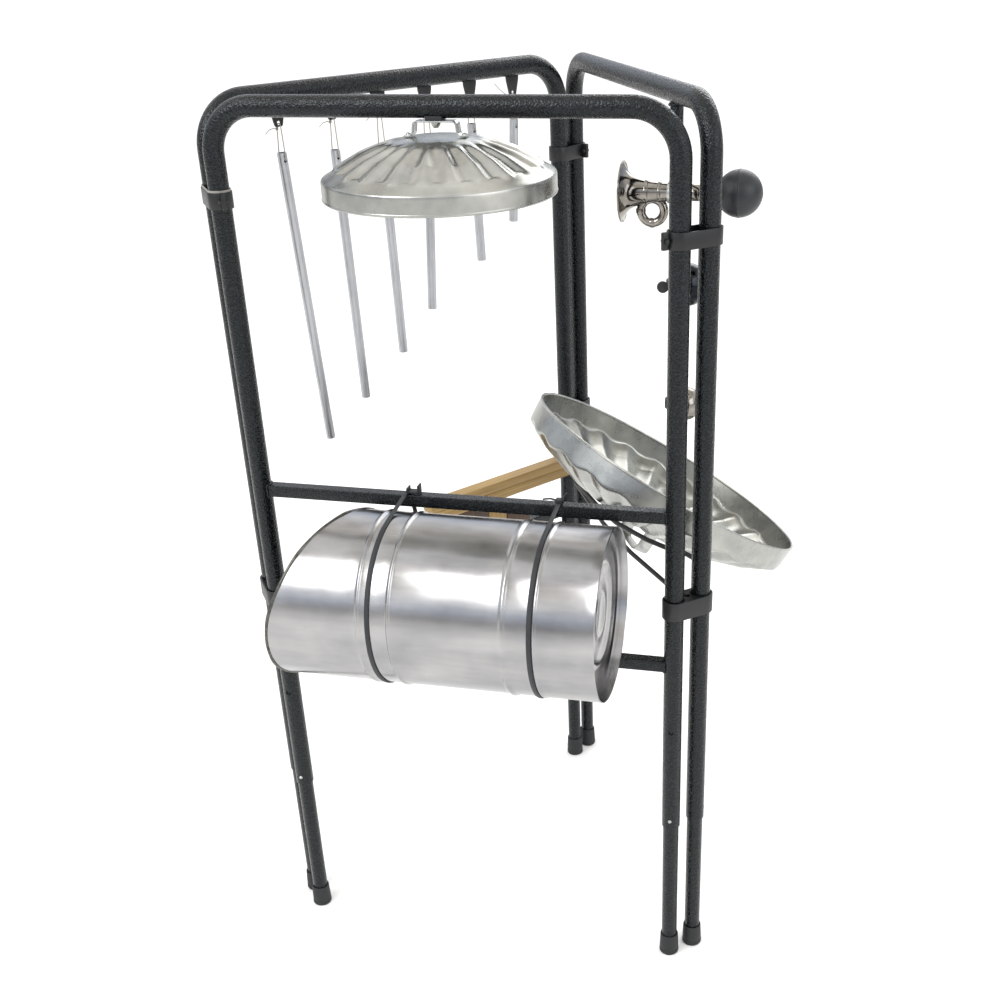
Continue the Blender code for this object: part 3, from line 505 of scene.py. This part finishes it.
LID_Z, LID_TOP, GRIP_TOP = 1104.0, 1167.6, 1184.4
small = fluted_lid("small_bin_lid", [(0, 63.6), (38, 62.8), (58, 58.6), (92, 46.2), (116, 33.8), (127, 27.2),
                                     (133.4, 23.8),
                                     (135.2, 22.6), (135.8, 20.6), (136.0, 2.0)], 22, 2.3, 1.0, 44, 124, 6, 136.5)
fit(small, spot(0, 0, LID_Z), tinplate, "lid", ("hanging_lid",), 50)
grip = strip("lid_handle_strip", [(-37, LID_TOP + 1.4), (-27, LID_TOP + 1.4), (-25, GRIP_TOP), (25, GRIP_TOP),
                                  (27, LID_TOP + 1.4), (37, LID_TOP + 1.4)], 15.6, 1.8, 4.5)
pierce(grip, bar("drill", [(0, 0, 1170), (0, 0, 1190)], 3.4, sides=20))
rivets = []
for x in (-33.5, 33.5):
    r = turned("rivet", [(0, 2.2), (1.6, 1.9), (2.7, 1.0), (3.0, 0), (3.0, -1.5), (0, -1.5)], 24)
    r.data.transform(Matrix.Translation((x, 0, LID_TOP + 2.2)))
    rivets.append(r)
fit(join(grip, *rivets), spot(), zinc, "lid", ("lid_handle",))
saddle = block("rubber_saddle", (-10, -9, 1185.6), (10, 9, 1190.8), 0.6)
pierce(saddle, bar("drill", [(-20, 0, TOP), (20, 0, TOP)], TUBE + 0.3, sides=64),
       bar("drill", [(0, 0, 1175), (0, 0, 1200)], 3.4, sides=20))
fit(saddle, spot(), rubber, nodes=("lid_saddle",))
stud = bar("lid_stud", [(0, 0, 1176.9), (0, 0, 1193)], 3.0, sides=20)
acorn = turned("acorn", [(0, 0), (2.0, 0.2), (3.6, 1.1), (4.6, 2.4), (5.0, 3.5), (5.6, 3.7), (5.9, 6.4), (0, 6.4)], 6)
acorn.data.transform(Matrix.Translation((0, 0, 1176.8)))
modify(acorn, "BEVEL", width=0.3, segments=2)
fit(join(stud, acorn), spot(), zinc, nodes=("lid_bolt",))

# ---- Dish ----------------------------------------------------------------------------------
# A full-size dustbin lid in the same tinplate lies crown-down in the two rods, leaning
# out through the right panel.  Its own riveted handle strip hangs underneath.
DISH = (spot(224.5, 300.0, 656.0, RIGHT_TURN - 90.0) @ Matrix.Rotation(math.radians(32.8), 4, "Y")
        @ Matrix.Rotation(math.pi, 4, "X"))
big = fluted_lid("large_bin_lid", [(0, 87), (66, 85.6), (92, 81.5), (142, 67), (188, 48.8), (204, 39.8),
                                   (211.5, 35.6),
                                   (214.6, 33.2), (215.2, 30.0), (216.4, 2.0)], 24, 3.6, 0.55, 66, 226, 10, 217.0)
fit(big, DISH, tinplate, nodes=("dish_lid",), angle=50)
grip = strip("dish_handle_strip", [(-52, 88.6), (-41, 88.6), (-39, 125), (39, 125), (41, 88.6), (52, 88.6)], 21.6,
             2.0, 12)
parts = [grip]
for x in (-47, 47):
    for y in (-6, 6):
        r = turned("rivet", [(0, 1.9), (1.5, 1.6), (2.6, 0.9), (2.9, 0), (2.9, -1.8), (0, -1.8)], 20)
        r.data.transform(Matrix.Translation((x, y, 89.8)))
        parts.append(r)
grip = join(*parts)
grip.data.transform(Matrix.Translation((12, 0, 0)) @ Matrix.Rotation(math.pi / 2, 4, "Z"))
fit(grip, DISH, zinc, nodes=("dish_handle",))

# ---- Coal hod ---------------------------------------------------------------------------------
# A straight-sided hod rolled from bright galvanised sheet, stiffened by swaged beads,
# cut on the slant at its mouth with the edge rolled over a wire, and closed by a
# pressed base set back inside a foot ring.
HOD_R, HOD_Y, HOD_Z = 111.4, -67.0, 605.0
ALONG = Matrix.Rotation(math.pi / 2, 4, "Y")
sheet = surface("rolled galvanised sheet", "#87878a", "#b2b1b0", 1.0, (0.18, 0.29), 30.0, 0.03, stretch=(0.15, 1, 1),
                blotch=70, dirt=0.5)
# the rolled mouth edge is the same sheet, coloured darker as painted shade for the dark line along the lip
rolled_edge_shade = surface("rolled sheet edge, painted shade", "#3a3936", "#74726c", 1.0, (0.25, 0.4), 5.0, 0.2, blotch=18)


def bead(x, r=HOD_R, rise=2.2, wide=4.2):
    return [(r + rise * 0.5 * (1 + math.cos(math.pi * k / 4)), x + wide * k / 4) for k in range(-4, 5)]


wall = [(0, 195.2), (22, 195.2), (25, 197.0), (30, 197.0), (33, 195.2), (58, 195.2), (62, 197.6), (70, 197.6),
        (74, 195.2),
        (98, 195.2), (106, 195.6), (109.2, 197.5), (110.0, 201), (110.2, 209.4), (111.0, 211), (112.2, 210.2),
        (111.6, 207.5)]
wall += [(HOD_R, 196)] + bead(137, rise=1.6)[::-1] + bead(97, wide=6.0)[::-1] + [(HOD_R, 60), (HOD_R, 10)]
wall += bead(-47)[::-1] + bead(-87)[::-1] + [(HOD_R, x) for x in (-110, -140, -170, -200, -230, -260)]
shell = turned("hod_shell", wall, 160)
shell.data.transform(ALONG)
MOUTH_X, SLANT = -165.0, Vector((-1.0, 45.0 / HOD_R, 25.0 / HOD_R))
pick(shell)
bpy.ops.object.mode_set(mode="EDIT")
bpy.ops.mesh.select_all(action="SELECT")
bpy.ops.mesh.bisect(plane_co=(MOUTH_X, 0, 0), plane_no=SLANT.normalized(), clear_outer=True)
bpy.ops.object.mode_set(mode="OBJECT")
tidy(shell)
modify(shell, "SOLIDIFY", thickness=1.0, offset=-1)
fit(shell, spot(0, HOD_Y, HOD_Z), sheet, nodes=("hod",), angle=42)
mouth = []
for k in range(160):
    a = 2 * math.pi * k / 160
    r = HOD_R - 0.5 + 0.3 * math.sin(9 * a) + 0.2 * math.sin(17 * a + 1)
    y, z = r * math.cos(a), r * math.sin(a)
    mouth.append((MOUTH_X + 0.8 + SLANT.y * y + SLANT.z * z + 0.5 * math.sin(7 * a + 2), y, z))
roll = bar("mouth_roll", mouth, 2.2, sides=14, closed=True)
fit(roll, spot(0, HOD_Y, HOD_Z), rolled_edge_shade)

# two black cord ties bind the hod to the front panel's upper rail
braid = surface("braided black cord", "#0c0d0f", "#2b2e33", 0.0, (0.45, 0.7), 1.1, 0.4, stretch=(1, 1, 0.6),
                kind="Voronoi")
RIM = HOD_R + 1.1


# the shortest closed path round a set of points, as a tight cord would lie
def around(seq):
    pts, out = sorted(seq), []
    for run in (pts, pts[::-1]):
        half = []
        for p in run:
            while len(half) > 1 and ((half[-1][0] - half[-2][0]) * (p[1] - half[-2][1])
                                     - (half[-1][1] - half[-2][1]) * (p[0] - half[-2][0])) <= 0:
                half.pop()
            half.append(p)
        out += half[:-1]
    return out


ring = [(HOD_Y + RIM * math.cos(math.pi * k / 48), HOD_Z + RIM * math.sin(math.pi * k / 48)) for k in range(96)]
ring += [(sy * 9.6, 715 + sz * 9.6) for sy in (-1, 1) for sz in (-1, 1)]
for i, x in enumerate((-74.0, 131.0), 1):
    tie = bar("hod_cord_tie_%d" % i, [(x, y, z) for y, z in around(ring)], 1.3, sides=12, closed=True)
    for v in tie.data.vertices:
        v.co.x = x + (v.co.x - x) * 2.4
    if i == 1:
        extra = [block("tab", (x + dx, -7, 723.4), (x + dx + 2.4, 6, 723.4 + rise), 1.0)
                 for dx, rise in ((1, 9), (16, 13))]
        extra.append(block("head", (x + 1, -6, 724.6), (x + 18, 5, 728), 1.0))
    else:
        extra = [block("head", (x - 5, -5, 724.6), (x + 4, 4, 730), 1.2),
                 strip("tail", [(x - 4, 727), (x - 12, 729), (x - 22, 727.5)], 3.6, 1.4, 4),
                 strip("tail", [(x, 727), (x + 5, 732), (x + 9, 738)], 3.6, 1.4, 4)]
    fit(join(tie, *extra), spot(), braid, nodes=("hod_tie_%d" % i,))

# ---- Bulb horn ------------------------------------------------------------------------------------
# A child's bugle horn in chromed brass: a spun flare with a turned-over lip, a coil
# soldered below, a reed barrel, and a moulded rubber bulb pushed over its end.
chrome = surface("chromed brass", "#6a6662", "#9c978f", 1.0, (0.07, 0.16), 9.0, 0.03, blotch=30)
bulb_rubber = surface("moulded bulb rubber", "#0b0e11", "#1a2025", 0.0, (0.36, 0.5), 0.6, 0.03)
post_at = foot_of("right", POST_X)
HX, HY, HZ = post_at.x - 62.0, 107.5, 1090.0
flare = eased([(35.2, 0.7), (29, 3.4), (22.4, 7.6), (17.6, 15), (14.4, 24), (12.4, 34), (11.2, 46), (10.5, 60),
               (9.4, 84)], 2)
flare = turned("horn_flare", flare, 72)
modify(flare, "SOLIDIFY", thickness=0.8, offset=-1)
lip_ring = turned("lip", [(35.0 + 1.0 * math.cos(a), 1.2 + 1.0 * math.sin(a)) for a in [k * math.pi / 5 for k in range(10)]], 72, True)
parts = [flare, lip_ring]
for z, r, w in ((30, 13.9, 3.0), (46, 12.2, 2.2), (76, 10.9, 2.2)):
    parts.append(turned("band", eased([(r - 1.6, z - w), (r, z - w + 0.3), (r, z + w - 0.3), (r - 1.6, z + w)], 2),
                        48))
parts.append(turned("barrel", eased([(8.8, 83), (10.0, 84.5), (9.8, 96), (6.8, 98), (5.0, 99), (5.0, 109.5),
                                     (0, 110)], 1), 48))
for v in parts:
    v.data.transform(ALONG)
coil = bar("coil", [(37 + 14.0 * math.cos(a), 0, -22 + 14.0 * math.sin(a)) for a in [k * math.pi / 20 for k in range(40)]],
           5.3, sides=24, closed=True)
sleeves = [turned("sleeve", eased([(5.0, -3), (6.0, -2.6), (6.0, 2.6), (5.0, 3)], 1), 32) for _ in range(2)]
sleeves[0].data.transform(Matrix.Translation((23.0, 0, -22)))
sleeves[1].data.transform(Matrix.Translation((37, 0, -36.0)) @ ALONG)
fit(join(*parts, coil, *sleeves), spot(HX, HY, HZ), chrome, nodes=("horn",), angle=45)
profile = [(5.7, -38.8), (8.6, -38.8), (9.1, -37.8), (9.1, -34), (9.6, -31), (11.5, -27.2)]
profile += [(27.6 * math.sin(a), 27.6 * math.cos(a)) for a in [math.radians(150 - 7.5 * k) for k in range(8)]]
profile += [(27.75, -1.0), (28.0, -0.6), (28.0, 0.6), (27.75, 1.0)]
profile += [(27.6 * math.sin(a), 27.6 * math.cos(a)) for a in [math.radians(86 - 8.6 * k) for k in range(10)]] + [(0, 27.8)]
bulb = turned("horn_rubber_bulb", profile, 64)
bulb.data.transform(ALONG)
modify(bulb, "SOLIDIFY", thickness=1.6, offset=-1)
fit(bulb, spot(HX + 141, HY, HZ), bulb_rubber, nodes=("horn_bulb",), angle=30)
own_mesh(bulb)


def post_clamp(name, z, bolt=True):
    """A pinch clip: a ring round the post with two ears and a cross screw."""
    ring_ = turned(name, [(8.4, z - 6), (8.6, z - 6.3), (10.2, z - 6.3), (10.6, z - 5.8), (10.6, z + 5.8),
                          (10.2, z + 6.3),
                          (8.6, z + 6.3), (8.4, z + 6)], 48, True)
    ears = block("ears", (-4, 8.8, z - 5.5), (4, 17, z + 5.5), 1.0)
    screw = bar("screw", [(-6.5, 13.4, z), (6.5, 13.4, z)], 2.0, sides=16)
    head = bar("head", [(5, 13.4, z), (7.6, 13.4, z)], 3.6, sides=24)
    ob = join(ring_, ears, screw, head)
    ob.data.transform(Matrix.Translation((post_at.x, post_at.y, 0)))
    return ob


clamp = post_clamp("horn_clamp_ring", HZ)
collar = turned("collar", [(11.4, -6), (12.6, -6), (12.6, 6), (11.4, 6)], 40, True)
collar.data.transform(Matrix.Translation((post_at.x, HY, HZ)) @ ALONG)
fit(join(clamp, collar), spot(), zinc, nodes=("horn_clamp",))

# ---- Two handlebar bells -------------------------------------------------------------------------
# Each is a drawn steel gong screwed to a black nylon base that is clamped round the post.
# Both gongs are chromed; the upper one has a sprung thumb lever, and its near-black colour is a painted dark
# reflection.
# the upper dome's near-black colour is a painted dark reflection on its chrome
chrome_dark_reflection = surface("chrome with painted dark reflection", "#141619", "#34383c", 1.0, (0.08, 0.18), 9.0, 0.03, blotch=30)
for tag, z, radius, depth, plating in (("bell", 975.0, 26.0, 22.0, chrome_dark_reflection),
                                       ("small_bell", 820.0, 21.0, 18.0, chrome)):
    bx = post_at.x + 15.0
    base = post_clamp(tag + "_clip", z)
    stem = turned("stem", [(0, -8), (5, -8), (5, 0), (11.3, 0), (11.5, 0.6), (11.5, 2.2), (10.8, 2.6), (2.4, 2.6),
                           (2.4, depth - 2), (0, depth - 2)], 40)
    stem.data.transform(Matrix.Translation((bx, post_at.y, z)) @ ALONG)
    fit(join(base, stem), spot(), nylon, nodes=(tag + "_base",))
    curve = [(radius, 0), (radius, 1.2)] + [(radius * math.cos(a), 1.2 + (depth - 1.2) * math.sin(a)) for a in
                                            [math.radians(6 + 7.6 * k) for k in range(11)]] + [(0, depth)]
    gong = turned(tag + "_gong", curve, 72)
    modify(gong, "SOLIDIFY", thickness=1.0, offset=-1)
    nut = turned("nut", [(0, depth + 0.1), (2.2, depth), (3.2, depth - 0.5), (3.4, depth - 1.4), (0, depth - 1.4)],
                 24)
    gong = join(gong, nut)
    gong.data.transform(Matrix.Translation((bx + 3.2, post_at.y, z)) @ ALONG)
    fit(gong, spot(), plating, nodes=(tag + "_dome",), angle=45)
lx, ly, lz = post_at.x + 18.4, post_at.y - 14.5, 975.0
arm = block("thumb_lever", (lx - 30, ly - 0.9, lz - 4.5), (lx + 3, ly + 0.9, lz + 3.5), 0.7)
pad = turned("pad", eased([(0, -1), (6.6, -0.9), (7.6, 0.6), (7.0, 2.5), (0, 3.1)], 1), 40)
pad.data.transform(Matrix.Translation((lx - 31, ly + 1.2, lz - 0.5)) @ Matrix.Rotation(math.pi / 2, 4, "X"))
barrel = bar("barrel", [(lx, ly, lz - 4.5), (lx, ly, lz + 3.5)], 2.6, sides=20)
fit(join(arm, pad, barrel), spot(), nylon, "lever", ("bell_lever",))
ear = block("lever_bracket", (lx - 3.4, ly - 2.6, lz - 6.6), (lx + 3.4, post_at.y - 9, lz - 5.0), 0.5)
pin = bar("pin", [(lx, ly, lz - 6.4), (lx, ly, lz - 4.8)], 1.4, sides=14)
fit(join(ear, pin), spot(), nylon)

# ---- Wooden scraper -----------------------------------------------------------------------------------
# A planed pine rail stands on three upright bars of stepped height, tied to the inside
# of the left panel; the outer two bars are coloured dark brown as painted shade for the shadowed space under the
# rail.
pine = surface("planed pine", "#86693a", "#b99a60", 0.0, (0.45, 0.62), 2.6, 0.12, stretch=(0.02, 1, 1),
               turn=-LEFT_TURN,
               blotch=50, dirt=0.25)
pine_up = surface("planed pine, grain upright", "#86693a", "#b99a60", 0.0, (0.45, 0.62), 2.6, 0.12,
                  stretch=(1, 1, 0.02),
                  blotch=50, dirt=0.25)
shade_brown_wood = surface("oiled dark hardwood", "#2a1a10", "#5e4127", 0.0, (0.35, 0.55), 2.2, 0.12, stretch=(1, 1, 0.03),
                   blotch=40, dirt=0.3)
rail = join(block("scraper_rail", (HALF - 546, 8.6, 573), (HALF - 262, 31, 588), 1.2),
            block("scraper_rail_cap", (HALF - 546, 8.6, 588.6), (HALF - 262, 31, 603), 1.2),
            block("scraper_rail_core", (HALF - 545, 10, 580), (HALF - 263, 30, 596), 0.4))
fit(rail, PANEL["left"], pine, nodes=("scraper_top_rail",))
# bars 1 and 3 carry the dark brown painted shade; bar 2 is plain pine
for i, (s0, s1, top, wood, slot) in enumerate(((312, 373, 572.7, shade_brown_wood, "dark_wood"),
                                               (375, 409, 556, pine_up, "pale_wood"),
                                               (411, 457, 540, shade_brown_wood, "dark_wood")), 1):
    upright = block("scraper_bar_%d_board" % i, (HALF - s1, 8.6, 452), (HALF - s0, 24, top), 1.0)
    fit(upright, PANEL["left"], wood, nodes=("scraper_bar_%d" % i,))

# ---- Floor and light ------------------------------------------------------------------------------------
# A plain pale floor and large soft lights.
bpy.ops.object.select_all(action="DESELECT")
bpy.ops.mesh.primitive_plane_add(size=120)
floor = bpy.context.view_layer.objects.active
floor.name = "floor"
paint = bpy.data.materials.new("matt white floor paint")
paint.use_nodes = True
paint.node_tree.nodes["Principled BSDF"].inputs["Base Color"].default_value = tone("#f8f8f7")
paint.node_tree.nodes["Principled BSDF"].inputs["Roughness"].default_value = 0.8
floor.data.materials.append(paint)
world = bpy.data.worlds.new("soft room")
bpy.context.scene.world = world
world.use_nodes = True
sky = world.node_tree
heading = add(sky, "TexCoord").outputs["Generated"]
height = add(sky, "SeparateXYZ", (), {0: heading}).outputs["Z"]
bands = add(sky, "ValToRGB", (), {0: height})
bands.color_ramp.elements[0].position, bands.color_ramp.elements[0].color = 0.0, tone("#a5a19b")
bands.color_ramp.elements[1].position, bands.color_ramp.elements[1].color = 1.0, tone("#ffffff")
for level, colour in ((0.07, "#a8a6a3"), (0.16, "#b4bccb"), (0.32, "#dde4f0"), (0.50, "#ffffff"), (0.78, "#dcd7cf")):
    bands.color_ramp.elements.new(level).color = tone(colour)
sky.links.new(bands.outputs[0], sky.nodes["Background"].inputs[0])
sky.nodes["Background"].inputs[1].default_value = 1.5
for name, at, size, watts in (("key", (-1.6, -2.2, 3.0), 1.8, 60), ("fill", (2.6, -1.4, 2.0), 2.0, 22),
                              ("back", (0.5, 2.8, 2.6), 2.0, 30)):
    lamp = bpy.data.objects.new(name, bpy.data.lights.new(name, "AREA"))
    bpy.context.scene.collection.objects.link(lamp)
    lamp.location = at
    lamp.rotation_euler = (Vector((0, 0, 0.6)) - Vector(at)).to_track_quat("-Z", "Y").to_euler()
    lamp.data.size, lamp.data.energy = size, watts
bpy.context.scene.view_settings.view_transform = "Standard"
